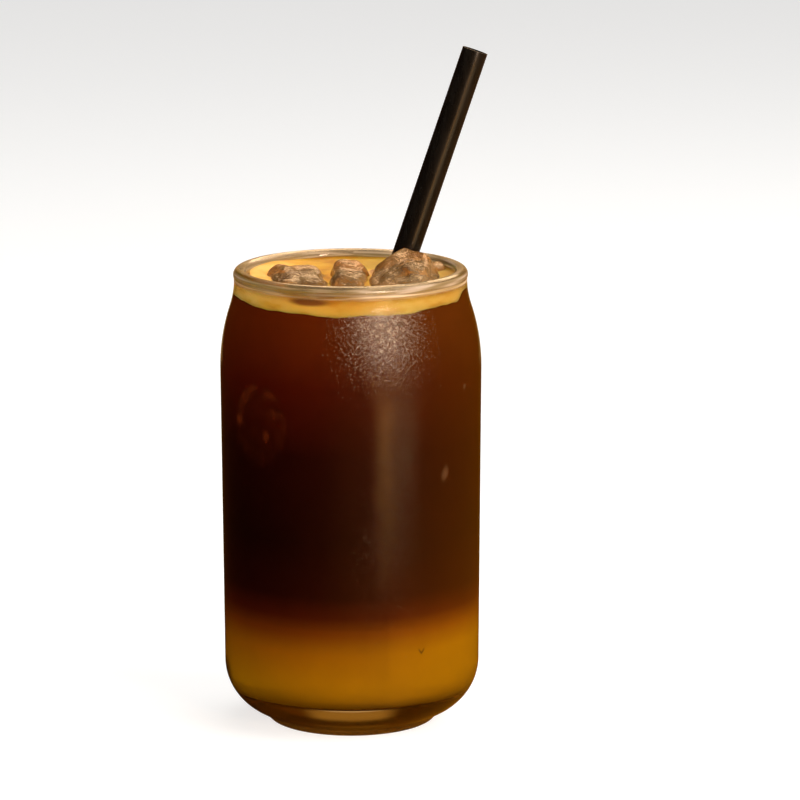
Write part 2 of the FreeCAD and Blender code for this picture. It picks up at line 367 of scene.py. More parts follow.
poolMix = colourMix(tree, pool.outputs[0], behind.outputs[2], (3.6, 1.75, 0.5, 1))
# a whiter patch farther off, which the straw mirrors
off = add(tree, "ShaderNodeVectorMath", operation="DISTANCE")
off.inputs[1].default_value = (0.40, -0.40, 0)
tree.links.new(where.outputs["Object"], off.inputs[0])
patch = fromTo(tree, off.outputs["Value"], 0.17, 0.06)
patchMix = colourMix(tree, patch.outputs["Result"], poolMix.outputs[2], (2.2, 1.55, 0.8, 1))
brown = add(tree, "ShaderNodeEmission", Strength=1.4)
tree.links.new(patchMix.outputs[2], brown.inputs["Color"])
mirrored = mirrorRays(tree, path)
wood = add(tree, "ShaderNodeBsdfDiffuse", Color=(0.6, 0.45, 0.3, 1))
floorMix = add(tree, "ShaderNodeMixShader")
tree.links.new(mirrored.outputs[0], floorMix.inputs["Fac"])
tree.links.new(wood.outputs[0], floorMix.inputs[1])
tree.links.new(brown.outputs[0], floorMix.inputs[2])
cameraMix = add(tree, "ShaderNodeMixShader")
tree.links.new(path.outputs["Is Camera Ray"], cameraMix.inputs["Fac"])
tree.links.new(floorMix.outputs[0], cameraMix.inputs[1])
tree.links.new(shader.outputs[0], cameraMix.inputs[2])
tree.links.new(cameraMix.outputs[0], tree.nodes["Material Output"].inputs["Surface"])
table.data.materials.append(tableFinish)
print("stage: camera, lights and table")


glassShape = {
    "puntRise": 1.5, "puntRadius": 19.5, "footRing": 22.0, "footRadius": 25.0,
    "heel": 1.6, "coneSlope": 28.0,
    "corner": (21.3005, 17.754), "wallTop": (37.96, 104.5),
    "shoulder": (-19.0384, 104.933), "neck": (59.25, 130.956), "bead": (32.05, 132.05),
    "innerFloor": 11.0, "innerCorner": (26.1177, 20.0),
    "lean": 0.435, "shoulderTurn": 18.385, "segments": 192,
}
g = glassShape
bm, v = startProfile(0, g["puntRise"])
v = runTo(bm, v, g["puntRadius"], g["puntRise"], 6)
v = runTo(bm, v, g["footRing"], 0, 2)
v = runTo(bm, v, g["footRadius"] - g["heel"], 0, 1)
v = bendTo(bm, v, g["footRadius"] - g["heel"], g["heel"], 90, 8)
v = runTo(bm, v, 28.812, 3.627, 3)
v = bendTo(bm, v, *g["corner"], 90 - g["coneSlope"] - g["lean"], 24)
v = runTo(bm, v, *g["wallTop"], 12)
v = bendTo(bm, v, *g["shoulder"], g["shoulderTurn"] + g["lean"], 14)
v = bendTo(bm, v, *g["neck"], -(g["shoulderTurn"] + 0.31), 12)
v = bendTo(bm, v, *g["bead"], 284.8, 40)
v = bendTo(bm, v, *g["neck"], g["shoulderTurn"] - 1.64, 10)
v = bendTo(bm, v, *g["shoulder"], -(g["shoulderTurn"] + g["lean"]), 14)
v = runTo(bm, v, 35.1174, 19.9316, 12)
v = bendTo(bm, v, *g["innerCorner"], -(90 - g["lean"]), 16)
v = runTo(bm, v, 0, g["innerFloor"], 8)
turnProfile(bm, g["segments"])
# fine condensation on the front of the shoulder, with a thinner trail running down
bm.normal_update()
misty = bm.verts.layers.float.new("mist")
for vert in bm.verts:
    outward = Vector((vert.co.x, vert.co.y, 0)).normalized().dot(vert.normal)
    if outward > 0.3:
        bearing = math.degrees(math.atan2(vert.co.x, -vert.co.y))
        high = vert.co.z / mm
        band = soft(bearing, -20, 0) * soft(bearing, 52, 34) * soft(high, 20, 55)
        thin = (0.45 + 0.55 * soft(high, 96, 112)) * (1 - 0.5 * soft(high, 125.5, 128))
        vert[misty] = band * thin
# the thick bead is tinted a little greener than the thin wall, and darkened with painted shade,
# most at the front and along the inner lip
tintedAndShaded = bm.verts.layers.float.new("rimTintAndShade")
for vert in bm.verts:
    out = vert.co.xy.length / mm
    front = 0.35 + 0.65 * soft(vert.co.y / mm, 20, -10)
    inner = soft(out, 31.3, 30.5) * soft(vert.co.z / mm, 130.6, 132)
    vert[tintedAndShaded] = 0.5 * front * (soft(vert.co.z / mm, 129.2, 130.4) + 0.5 * inner)
glass = keepMesh(bm, "glass_clear", node="glass", slot="clear_glass", sharpOver=32)

glassFinish, tree, shader = newMaterial("clearGlass")
rimTintAndShade = add(tree, "ShaderNodeAttribute", attribute_name="rimTintAndShade")
# painted shade on the bead, given through the glass's own colour
clear = ramp(tree, rimTintAndShade.outputs["Fac"], [
    (0.0, (0.97, 0.975, 0.96)), (0.5, (0.56, 0.62, 0.8)), (1.0, (0.2, 0.16, 0.12))], "LINEAR")
tree.links.new(clear, shader.inputs["Base Color"])
shader.inputs["IOR"].default_value = 1.5
shader.inputs["Transmission Weight"].default_value = 1.0
mist = add(tree, "ShaderNodeAttribute", attribute_name="mist")
haze = add(tree, "ShaderNodeMapRange")
haze.inputs["To Min"].default_value = 0.06
haze.inputs["To Max"].default_value = 0.27
tree.links.new(mist.outputs["Fac"], haze.inputs["Value"])
tree.links.new(haze.outputs["Result"], shader.inputs["Roughness"])
specks = useGroup(tree, cloud, Scale=1700.0)
grainy = product(tree, specks.outputs["Height"], mist.outputs["Fac"])
bump = add(tree, "ShaderNodeBump", Strength=1.0, Distance=0.00015)
tree.links.new(grainy.outputs[0], bump.inputs["Height"])
tree.links.new(bump.outputs["Normal"], shader.inputs["Normal"])
path = add(tree, "ShaderNodeLightPath")
letThrough = add(tree, "ShaderNodeBsdfTransparent", Color=(0.96, 0.96, 0.95, 1))
lampMix = add(tree, "ShaderNodeMixShader")
tree.links.new(path.outputs["Is Shadow Ray"], lampMix.inputs["Fac"])
tree.links.new(shader.outputs[0], lampMix.inputs[1])
tree.links.new(letThrough.outputs[0], lampMix.inputs[2])
tree.links.new(lampMix.outputs[0], tree.nodes["Material Output"].inputs["Surface"])
glass.data.materials.append(glassFinish)
# a thin film dulls the rim: streaks of froth and melt, with painted sheen paler to the right and
# at the sides, and painted shade in a line along the lip
bm, v = startProfile(33.81, 129.6)
v = runTo(bm, v, 33.81, 132.05, 8)
v = bendTo(bm, v, *g["bead"], 215, 36)
turnProfile(bm, g["segments"])
filmed = bm.verts.layers.float.new("film")
filmSheenAndShade = bm.verts.layers.float.new("filmSheenAndShade")
for vert in bm.verts:
    bearing = math.degrees(math.atan2(vert.co.x, -vert.co.y))
    high = vert.co.z / mm
    around = math.degrees(math.atan2(high - g["bead"][1], vert.co.xy.length / mm - g["bead"][0]))
    around %= 360
    lower = high < g["bead"][1] and around > 270 or around == 0
    streak = noise.noise(Vector((math.sin(math.radians(bearing)) * 4, bearing * 0.02, high * 2.2)))
    patch = noise.noise(Vector((vert.co.x, vert.co.y, 0)) * 90)
    # painted sheen to the right and at the sides, and painted shade along the lip
    right = soft(abs(bearing - 22), 32, 8)
    lip = soft(abs(around - 55), 22, 6) * (1 - 0.6 * right) if not lower else 0
    vert[filmSheenAndShade] = (0.48 + 0.36 * right + 0.2 * soft(abs(bearing), 35, 60)
                      + 0.4 * streak + 0.2 * patch - 0.6 * lip)
    vert[filmed] = (0.62 + 0.3 * streak) * soft(high, 129.8, 130.8)
    if 150 < around < 270:
        vert[filmed] *= soft(around, 214, 170)
film = keepMesh(bm, "rim_film", slot="clear_glass")
filmFinish, tree, shader = newMaterial("rimFilm")
shader.inputs["Roughness"].default_value = 0.35
howPale = add(tree, "ShaderNodeAttribute", attribute_name="filmSheenAndShade")
tone = ramp(tree, howPale.outputs["Fac"], [
    (0.0, (0.08, 0.045, 0.008)), (0.35, (0.22, 0.15, 0.06)), (0.7, (0.46, 0.32, 0.16)),
    (1.0, (0.76, 0.58, 0.4))])
tree.links.new(tone, shader.inputs["Base Color"])
howThick = add(tree, "ShaderNodeAttribute", attribute_name="film")
thin = add(tree, "ShaderNodeMapRange")
tree.links.new(howThick.outputs["Fac"], thin.inputs["Value"])
tree.links.new(thin.outputs["Result"], shader.inputs["Alpha"])
film.data.materials.append(filmFinish)
print("glass: %d faces" % len(glass.data.polygons))


iceShape = {
    "ice_left": {"sides": (16.9, 26, 22), "turn": (3, 7, 6)},
    "ice_middle": {"sides": (10, 26, 20), "turn": (2, 5, -2)},
    "ice_right": {"sides": (20, 25, 22), "turn": (4, -22, -5), "bulge": (12.5, -3, 8, 2.6)},
    "ice_side": {"sides": (7, 8.5, 14), "turn": (-6, 8, -24)},
}
iceMelt = 0.3
iceRoom = 29.75


def lumpOfIce(node, sides, turn, bulge=None):
    # a gridded block with its edges melted round, then pitted and waved
    low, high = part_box(node)
    bm = bmesh.new()
    bmesh.ops.create_cube(bm, size=1)
    bmesh.ops.subdivide_edges(bm, edges=bm.edges[:], cuts=22, use_grid_fill=True)
    bmesh.ops.scale(bm, vec=Vector(sides) * mm, verts=bm.verts[:])
    melt = iceMelt * min(sides[0], sides[1]) * mm
    flat = [side * mm / 2 - melt for side in sides]
    for vert in bm.verts:
        heart = Vector([min(max(c, -f), f) for c, f in zip(vert.co, flat)])
        vert.co = heart + (vert.co - heart).normalized() * melt
    spin = Euler([math.radians(t) for t in turn], "XYZ").to_matrix().to_4x4()
    bmesh.ops.transform(bm, matrix=spin, verts=bm.verts[:])
    corner = Vector((
        low.x - min(v.co.x for v in bm.verts), low.y - min(v.co.y for v in bm.verts),
        high.z - max(v.co.z for v in bm.verts)))
    bmesh.ops.translate(bm, vec=corner, verts=bm.verts[:])
    bm.normal_update()
    for vert in bm.verts:
        wave = noise.noise(vert.co * 150) * 1.5 + noise.noise(vert.co * 330) * 0.9
        pit = noise.noise(vert.co * 900) * 0.1
        vert.co += vert.normal * (wave + pit - 0.3) * mm
        if bulge and vert.co.z > 126 * mm:
            x, y, width, lift = bulge
            away = (vert.co.xy / mm - Vector((x, y))).length
            vert.co.z += lift * soft(away, width, 0.25 * width) * mm
        out = vert.co.xy.length
        if out > iceRoom * mm:
            vert.co.xy *= iceRoom * mm / out
    bmesh.ops.recalc_face_normals(bm, faces=bm.faces[:])
    piece = keepMesh(bm, node + "_melting", node=node, slot="ice")
    piece.modifiers.new("soften", "SUBSURF").levels = 1
    piece.modifiers["soften"].render_levels = 1
    return piece


iceFinish, tree, shader = newMaterial("wetIce")
shader.inputs["IOR"].default_value = 1.31
shader.inputs["Transmission Weight"].default_value = 0.78
mottle = useGroup(tree, cloud, Scale=130.0, Low=0.28, High=0.75)
stain = ramp(tree, mottle.outputs["Mask"], [
    (0.0, (0.86, 0.54, 0.24)), (0.5, (0.6, 0.33, 0.11)), (1.0, (0.26, 0.12, 0.035))])
tree.links.new(stain, shader.inputs["Base Color"])
frost = add(tree, "ShaderNodeMapRange")
frost.inputs["To Min"].default_value = 0.03
frost.inputs["To Max"].default_value = 0.22
tree.links.new(mottle.outputs["Mask"], frost.inputs["Value"])
tree.links.new(frost.outputs["Result"], shader.inputs["Roughness"])
dimple = useGroup(tree, cloud, Scale=300.0)
bump = add(tree, "ShaderNodeBump", Strength=0.8, Distance=0.0018)
tree.links.new(dimple.outputs["Height"], bump.inputs["Height"])
tree.links.new(bump.outputs["Normal"], shader.inputs["Normal"])
path = add(tree, "ShaderNodeLightPath")
letThrough = add(tree, "ShaderNodeBsdfTransparent", Color=(0.88, 0.78, 0.62, 1))
lampMix = add(tree, "ShaderNodeMixShader")
tree.links.new(path.outputs["Is Shadow Ray"], lampMix.inputs["Fac"])
tree.links.new(shader.outputs[0], lampMix.inputs[1])
tree.links.new(letThrough.outputs[0], lampMix.inputs[2])
tree.links.new(lampMix.outputs[0], tree.nodes["Material Output"].inputs["Surface"])
iceLumps = []
for node, shape in iceShape.items():
    lump = lumpOfIce(node, **shape)
    lump.data.materials.append(iceFinish)
    iceLumps.append(lump)


def foamOnIce(lump, seed, cover, crest):
    # a thin film of foam round the foot of the ice and on the highest crest; it fades out
    graph = bpy.context.evaluated_depsgraph_get()
    bm = bmesh.new()
    bm.from_object(lump, graph)
    bm.normal_update()
    shift = Vector((seed, 0.3 * seed, 0))
    cling = bm.verts.layers.float.new("cling")
    for vert in bm.verts:
        high = vert.co.z / mm - 131.5
        patch = 0.7 * noise.noise(vert.co * 330 + shift) + 0.4 * noise.noise(vert.co * 900 + shift)
        right = soft(vert.co.x / mm, 14, 19)
        vert[cling] = patch + cover + 0.7 * soft(high, 1.6, 0.2) + crest * right * soft(high, 4, 6)
    bare = [f for f in bm.faces if max(v[cling] for v in f.verts) < 0]
    deep = [f for f in bm.faces if max(v.co.z for v in f.verts) < 130.9 * mm]
    for vert in bm.verts:
        vert.co += vert.normal * 0.08 * mm
    bmesh.ops.delete(bm, geom=list(set(bare + deep)), context="FACES")
    return keepMesh(bm, "foam_on_" + lump.name.split("_")[1], slot="crema")


foamPatches = [foamOnIce(lump, 3.1 * i, -1.2, crest) for i, (lump, crest) in enumerate(
    zip(iceLumps[2:], (0.8, 0)), start=2)]
# pale soft spots on the ice's skin: painted highlights, where wet melted ice would glint
graph = bpy.context.evaluated_depsgraph_get()
iceSkins = [BVHTree.FromObject(lump, graph) for lump in iceLumps]
# across, height at the front wall, half width
iceGlintSpots = (
    (-19.4, 135.6, 1.7), (-16.6, 135.3, 1.0), (-10.0, 136.4, 1.6), (-11.8, 137.5, 0.9),
    (-5.2, 134.4, 1.3), (-1.5, 135.4, 0.9), (17.6, 136.2, 1.2), (22.0, 136.6, 1.5),
    (20.0, 135.1, 1.0), (25.6, 140.4, 0.9), (25.2, 138.6, 0.7))
bm = bmesh.new()
density = bm.verts.layers.float.new("density")
for x, z, reach in iceGlintSpots:
    start, heading = Vector((x, -29.5, z)) * mm, Vector((0, 0.98, -0.2))
    hits = [skin.ray_cast(start, heading) for skin in iceSkins]
    hits = [hit for hit in hits if hit[0]]
    if hits:
        place, outward = min(hits, key=lambda hit: hit[3])[:2]
        shape = Matrix.Diagonal((reach * mm, 0.75 * reach * mm, 0.2 * mm, 1))
        shape = (Matrix.Translation(place)
                 @ outward.to_track_quat("Z", "Y").to_matrix().to_4x4() @ shape)
        made = bmesh.ops.create_icosphere(bm, subdivisions=4, radius=1, matrix=shape)
        for vert in made["verts"]:
            near = shape.inverted() @ vert.co
            vert[density] = soft(near.xy.length, 0.95, 0.2)
air = keepMesh(bm, "air_in_ice", slot="ice")
# painted highlights: pale soft spots that fade out at their edges
iceGlintFinish, tree, shader = newMaterial("paintedIceGlints")
shader.inputs["Roughness"].default_value = 0.6
haze = useGroup(tree, cloud, Scale=500.0, Low=0.3, High=0.7)
glintTone = ramp(tree, haze.outputs["Mask"], [(0.0, (0.95, 0.78, 0.58)), (1.0, (0.85, 0.62, 0.42))])
tree.links.new(glintTone, shader.inputs["Base Color"])
thickness = add(tree, "ShaderNodeAttribute", attribute_name="density")
fade = add(tree, "ShaderNodeMapRange")
fade.inputs["To Max"].default_value = 0.75
tree.links.new(thickness.outputs["Fac"], fade.inputs["Value"])
tree.links.new(fade.outputs["Result"], shader.inputs["Alpha"])
air.data.materials.append(iceGlintFinish)
foamFilm, tree, shader = newMaterial("foamFilm")
shader.inputs["Roughness"].default_value = 0.4
swirl = useGroup(tree, cloud, Scale=300.0, Low=0.3, High=0.7)
tan = ramp(tree, swirl.outputs["Mask"], [(0.0, srgb(196, 140, 74)), (1.0, srgb(140, 86, 38))])
tree.links.new(tan, shader.inputs["Base Color"])
thickness = add(tree, "ShaderNodeAttribute", attribute_name="cling")
fade = add(tree, "ShaderNodeMapRange", interpolation_type="SMOOTHSTEP")
fade.inputs["From Max"].default_value = 0.5
fade.inputs["To Max"].default_value = 0.85
tree.links.new(thickness.outputs["Fac"], fade.inputs["Value"])
tree.links.new(fade.outputs["Result"], shader.inputs["Alpha"])
for patch in foamPatches:
    patch.data.materials.append(foamFilm)
print("ice: %d lumps" % len(iceLumps))


strawShape = {
    "foot": (-26.5, 3.0, 12.55), "atLevel": (14.3, 9.8, 131.5),
    "length": 193.5, "outer": 3.75, "bore": 3.45, "lip": 0.1, "segments": 64,
}
s = strawShape
bm, v = startProfile(s["outer"] - s["lip"], 0)
v = bendTo(bm, v, s["outer"] - s["lip"], s["lip"], 90, 4)
v = runTo(bm, v, s["outer"], s["length"] - s["lip"], 40)
v = bendTo(bm, v, s["outer"] - s["lip"], s["length"] - s["lip"], 90, 4)
v = runTo(bm, v, s["bore"], s["length"])
v = runTo(bm, v, s["bore"], 0, 40)
v = runTo(bm, v, s["outer"] - s["lip"], 0)
bmesh.ops.remove_doubles(bm, verts=bm.verts[:], dist=1e-7)
turnProfile(bm, s["segments"])
foot = Vector(s["foot"]) * mm
along = (Vector(s["atLevel"]) * mm - foot).normalized()
lean = along.to_track_quat("Z", "Y").to_matrix().to_4x4()
bmesh.ops.transform(bm, matrix=Matrix.Translation(foot) @ lean, verts=bm.verts[:])
straw = keepMesh(bm, "straw_black", node="straw", slot="straw", sharpOver=50)

strawFinish, tree, shader = newMaterial("blackStraw")
shader.inputs["Roughness"].default_value = 0.42
scuff = useGroup(tree, cloud, Scale=260.0, Stretch=(1.0, 1.0, 0.15), Low=0.3, High=0.8)
black = ramp(tree, scuff.outputs["Mask"], [
    (0.0, (0.003, 0.0025, 0.002)), (1.0, (0.006, 0.005, 0.004))])
tree.links.new(black, shader.inputs["Base Color"])
satin = add(tree, "ShaderNodeMapRange")
satin.inputs["To Min"].default_value = 0.24
satin.inputs["To Max"].default_value = 0.34
tree.links.new(scuff.outputs["Mask"], satin.inputs["Value"])
tree.links.new(satin.outputs["Result"], shader.inputs["Roughness"])
straw.data.materials.append(strawFinish)
print("straw: done")


drinkShape = {
    "intoWall": 0.3, "juiceTop": 34.5, "level": 131.5, "cremaDepth": 6.8,
    "dome": 1.6, "ripple": 0.25, "rippleLength": 19.0, "rim": 0.7, "segments": 240,
    "juiceRadius": 35.228, "wallLean": 0.0076, "shoulderStart": (35.7601, 104.517),
    "neckRadius": 27.7, "meniscus": ((30.6, 0.35), (29.2, 0)),
}
d = drinkShape


def cremaLow(x, y):
    # how far the foam's underside stands over its lowest plane
    reach = 1.1 * 37.96 * mm
    dome = d["dome"] * math.cos(math.pi * y / (2 * reach))
    wave = d["ripple"] * math.sin(2 * math.pi * x / (d["rippleLength"] * mm))
    bearing = math.degrees(math.atan2(x, -y))
    thin = 2.2 * soft(bearing, 66, 76) * soft(bearing, 120, 100)
    ragged = 0.3 * noise.noise(Vector((x, y, 0)) * 260)
    return (dome + wave + thin + ragged) * mm


def cutRound(piece, others):
    # the drink stops at the ice and the straw
    for other in others:
        cutter = piece.modifiers.new("round_" + other.name, "BOOLEAN")
        cutter.operation = "DIFFERENCE"
        cutter.solver = "EXACT"
        cutter.object = other
    graph = bpy.context.evaluated_depsgraph_get()
    graph.update()
    cut = bpy.data.meshes.new_from_object(piece.evaluated_get(graph))
    piece.modifiers.clear()
    piece.data = cut
    return piece


# a plain rod where the straw stands, used only to cut
bm = bmesh.new()
bmesh.ops.create_cone(
    bm, cap_ends=True, segments=s["segments"], radius1=s["outer"] * mm,
    radius2=s["outer"] * mm, depth=s["length"] * mm)
bmesh.ops.translate(bm, vec=(0, 0, s["length"] * mm / 2), verts=bm.verts[:])
bmesh.ops.transform(bm, matrix=Matrix.Translation(foot) @ lean, verts=bm.verts[:])
rod = keepMesh(bm, "rod")

reach = d["intoWall"]
neckR = d["neckRadius"] - reach


def neckX(z):
    # the drink's radius in the neck at one height
    return g["neck"][0] - math.sqrt(neckR ** 2 - (g["neck"][1] - z) ** 2)


def neckAngle(z):
    # how far below the neck's centre a height lies on its arc, in degrees
    return math.degrees(math.asin((g["neck"][1] - z) / neckR))


bm, v = startProfile(0, g["innerFloor"] - reach)
v = runTo(bm, v, g["innerCorner"][0], g["innerFloor"] - reach, 6)
v = bendTo(bm, v, *g["innerCorner"], 90 - g["lean"], 14)
v = runTo(bm, v, d["juiceRadius"] + reach, d["juiceTop"], 6)
v = runTo(bm, v, 0, d["juiceTop"], 6)
turnProfile(bm, d["segments"])
juice = keepMesh(bm, "juice_layer", node="juice", slot="juice", sharpOver=40)

low = d["level"] - d["cremaDepth"]
bm, v = startProfile(0, d["juiceTop"])
v = runTo(bm, v, d["juiceRadius"] + reach, d["juiceTop"], 6)
v = runTo(bm, v, d["shoulderStart"][0] + reach, d["shoulderStart"][1], 16)
v = bendTo(bm, v, *g["shoulder"], g["shoulderTurn"] + g["lean"], 10)
edge = v.co.copy()
v = bendTo(bm, v, *g["neck"], neckAngle(low) - neckAngle(edge.z / mm), 4)
v = runTo(bm, v, 0, low, 24)
turnProfile(bm, d["segments"])
for vert in bm.verts:
    if vert.co.z > (low - 0.01) * mm:
        vert.co.z += cremaLow(vert.co.x, vert.co.y)
coffee = keepMesh(bm, "coffee_layer", node="coffee", slot="coffee", sharpOver=40)

bm, v = startProfile(0, low)
v = runTo(bm, v, neckX(low), low, 24)
v = bendTo(bm, v, *g["neck"], -neckAngle(low), 10)
v = runTo(bm, v, neckX(g["neck"][1]), d["level"] + d["rim"])
for x, rise in d["meniscus"]:
    v = runTo(bm, v, x, d["level"] + rise)
v = runTo(bm, v, 0, d["level"], 40)
turnProfile(bm, d["segments"])
for vert in bm.verts:
    # the lower edge sways, and the side above it follows less and less
    out = vert.co.xy.length / mm
    share = min(max((d["level"] - vert.co.z / mm) / (d["level"] - low), 0), 1)
    if share > 0:
        onWall = out > neckX(vert.co.z / mm) - 0.02
        vert.co.z += share * cremaLow(vert.co.x, vert.co.y)
        if onWall:
            vert.co.xy *= neckX(vert.co.z / mm) / out
    elif vert.co.z > (d["level"] - 0.01) * mm:
        mound = 1.1 * soft(out, 19, 28) * soft(vert.co.x / mm, -12, -24) * soft(out, 30.4, 29.6)
        dip = 1.8 * soft((vert.co.xy - Vector((11, 6)) * mm).length / mm, 7.5, 3.5)
        vert.co.z += (mound - dip + noise.noise(vert.co * 160) * 0.12) * mm
crema = keepMesh(bm, "crema_layer", node="crema", slot="crema", sharpOver=40)

cutRound(juice, [rod])
cutRound(coffee, [rod] + iceLumps)
cutRound(crema, [rod] + iceLumps)
bpy.data.objects.remove(rod)

# one blend of colour for juice and coffee: height gives the layer, and X carries painted light and
# shade, mostly darker on the left and paler on the right
blend, blendIn, blendOut = newGroup("DrinkBlend", [
    ("Murk", "NodeSocketFloat", 0.12)], [("Colour", "NodeSocketColor")])
where = add(blend, "ShaderNodeTexCoord")
axes = add(blend, "ShaderNodeSeparateXYZ")
blend.links.new(where.outputs["Object"], axes.inputs[0])
wobble = useGroup(blend, cloud, Scale=45.0, Stretch=(1.0, 1.0, 1.0), Low=0.2, High=0.8)
sway = product(blend, wobble.outputs["Mask"], blendIn.outputs["Murk"])
blendFrom, blendTo = 10, 132
heightUp = fromTo(blend, axes.outputs["Z"], blendFrom * mm, blendTo * mm, "LINEAR")


def at(z):
    # a height's place in the blend
    return (z - blendFrom) / (blendTo - blendFrom)


# the right side's colours, with painted light
rightPaintedShading = ramp(blend, heightUp.outputs["Result"], [
    (at(12), srgb(144, 98, 1)), (at(27), srgb(147, 98, 1)), (at(33), srgb(122, 67, 1)),
    (at(38), srgb(78, 30, 1)), (at(44), srgb(54, 18, 0)), (at(60), srgb(45, 13, 0)),
    (at(85), srgb(48, 12, 0)), (at(105), srgb(62, 19, 0)), (at(122), srgb(84, 36, 3))],
    "LINEAR")
# the left side's colours, with painted shade above the juice's foot and paler at its very bottom
leftPaintedShading = ramp(blend, heightUp.outputs["Result"], [
    (at(12), srgb(180, 127, 2)), (at(27), srgb(146, 86, 1)), (at(33), srgb(104, 46, 1)),
    (at(38), srgb(63, 13, 0)), (at(44), srgb(34, 2, 0)), (at(60), srgb(22, 1, 0)),
    (at(85), srgb(31, 1, 0)), (at(105), srgb(68, 10, 0)), (at(122), srgb(98, 33, 1))],
    "LINEAR")
# painted light and shade across X, from the left side's colours to the right side's
across = fromTo(blend, axes.outputs["X"], -30 * mm, 34 * mm)
sides = add(blend, "ShaderNodeMix", data_type="RGBA")
blend.links.new(across.outputs["Result"], sides.inputs["Factor"])
blend.links.new(leftPaintedShading, sides.inputs["A"])
blend.links.new(rightPaintedShading, sides.inputs["B"])
streaks = add(blend, "ShaderNodeMix", data_type="RGBA", blend_type="MULTIPLY")
blend.links.new(sway.outputs[0], streaks.inputs["Factor"])
blend.links.new([o for o in sides.outputs if o.type == "RGBA"][0], streaks.inputs["A"])
streaks.inputs["B"].default_value = (0.3, 0.22, 0.15, 1)
blend.links.new([o for o in streaks.outputs if o.type == "RGBA"][0], blendOut.inputs["Colour"])


def drinkFinish(name, murk):
    made, tree, shader = newMaterial(name)
    colour = useGroup(tree, blend, Murk=murk)
    tree.links.new(colour.outputs["Colour"], shader.inputs["Base Color"])
    shader.inputs["Roughness"].default_value = 0.55
    shader.inputs["Specular IOR Level"].default_value = 0.05
    # a cloudy drink glows right down its rounded corner, so it is shaded as an upright wall
    where = add(tree, "ShaderNodeTexCoord")
    flat = add(tree, "ShaderNodeVectorMath", operation="MULTIPLY")
    flat.inputs[1].default_value = (1, 1, 0)
    tree.links.new(where.outputs["Object"], flat.inputs[0])
    upright = add(tree, "ShaderNodeVectorMath", operation="NORMALIZE")
    tree.links.new(flat.outputs[0], upright.inputs[0])
    tree.links.new(upright.outputs[0], shader.inputs["Normal"])
    return made


juice.data.materials.clear()
juice.data.materials.append(drinkFinish("citrusJuice", 0.15))
# the floor of the glass mirrors what lies under it when seen aslant
under, tree, shader = newMaterial("juiceFromBelow")
shader.inputs["Base Color"].default_value = (0.42, 0.2, 0.01, 1)
shader.inputs["Roughness"].default_value = 0.6
gloss = add(tree, "ShaderNodeBsdfAnisotropic", Color=(0.6, 0.42, 0.12, 1), Roughness=0.12)
slant = add(tree, "ShaderNodeLayerWeight", Blend=0.5)
total = fromTo(tree, slant.outputs["Facing"], 0.45, 0.6)
slantMix = add(tree, "ShaderNodeMixShader")
tree.links.new(total.outputs["Result"], slantMix.inputs["Fac"])
tree.links.new(shader.outputs[0], slantMix.inputs[1])
tree.links.new(gloss.outputs[0], slantMix.inputs[2])
tree.links.new(slantMix.outputs[0], tree.nodes["Material Output"].inputs["Surface"])
juice.data.materials.append(under)
for face in juice.data.polygons:
    face.material_index = 1 if face.normal.z < -0.96 else 0
coffee.data.materials.clear()
coffee.data.materials.append(drinkFinish("darkCoffee", 0.3))

cremaFinish, tree, shader = newMaterial("creamyFoam")
shader.inputs["Roughness"].default_value = 0.45
shader.inputs["Specular IOR Level"].default_value = 0.1
shader.inputs["Subsurface Weight"].default_value = 0.9
shader.inputs["Subsurface Radius"].default_value = (1.0, 0.8, 0.5)
shader.inputs["Subsurface Scale"].default_value = 0.007
swirl = useGroup(tree, cloud, Scale=70.0, Stretch=(1.0, 1.0, 2.5), Low=0.3, High=0.75)
foam = ramp(tree, swirl.outputs["Mask"], [
    (0.0, srgb(222, 166, 70)), (0.55, srgb(210, 148, 48)), (1.0, srgb(182, 116, 34))])
# a brown smear of coffee on the glass at the front
where = add(tree, "ShaderNodeTexCoord")
fromSmear = add(tree, "ShaderNodeVectorMath", operation="SUBTRACT")
fromSmear.inputs[1].default_value = Vector((-11.3, -29.6, 129.1)) * mm
tree.links.new(where.outputs["Object"], fromSmear.inputs[0])
inSmear = add(tree, "ShaderNodeVectorMath", operation="DIVIDE")
inSmear.inputs[1].default_value = Vector((6.6, 5.0, 1.2)) * mm
tree.links.new(fromSmear.outputs[0], inSmear.inputs[0])
howFar = add(tree, "ShaderNodeVectorMath", operation="LENGTH")
tree.links.new(inSmear.outputs[0], howFar.inputs[0])
smear = fromTo(tree, howFar.outputs["Value"], 1.25, 0.5)
stained = add(tree, "ShaderNodeMix", data_type="RGBA")
tree.links.new(smear.outputs["Result"], stained.inputs["Factor"])
facing = add(tree, "ShaderNodeNewGeometry")
upward = add(tree, "ShaderNodeSeparateXYZ")
tree.links.new(facing.outputs["True Normal"], upward.inputs[0])
lid = add(tree, "ShaderNodeMapRange")
lid.inputs["From Min"].default_value = 0.5
lid.inputs["From Max"].default_value = 0.9
tree.links.new(upward.outputs["Z"], lid.inputs["Value"])
ochre = add(tree, "ShaderNodeMix", data_type="RGBA", blend_type="MULTIPLY")
tree.links.new(lid.outputs["Result"], ochre.inputs["Factor"])
tree.links.new(foam, ochre.inputs[6])
spot = add(tree, "ShaderNodeSeparateXYZ")
tree.links.new(where.outputs["Object"], spot.inputs[0])
sideways = add(tree, "ShaderNodeMapRange")
sideways.inputs["From Min"].default_value = -30 * mm
sideways.inputs["From Max"].default_value = 30 * mm
tree.links.new(spot.outputs["X"], sideways.inputs["Value"])
lidTone = ramp(tree, sideways.outputs["Result"], [
    (0.12, (0.95, 0.75, 0.8)), (0.3, (0.85, 0.78, 0.58)), (1.0, (0.8, 0.78, 0.52))])
tree.links.new(lidTone, ochre.inputs[7])
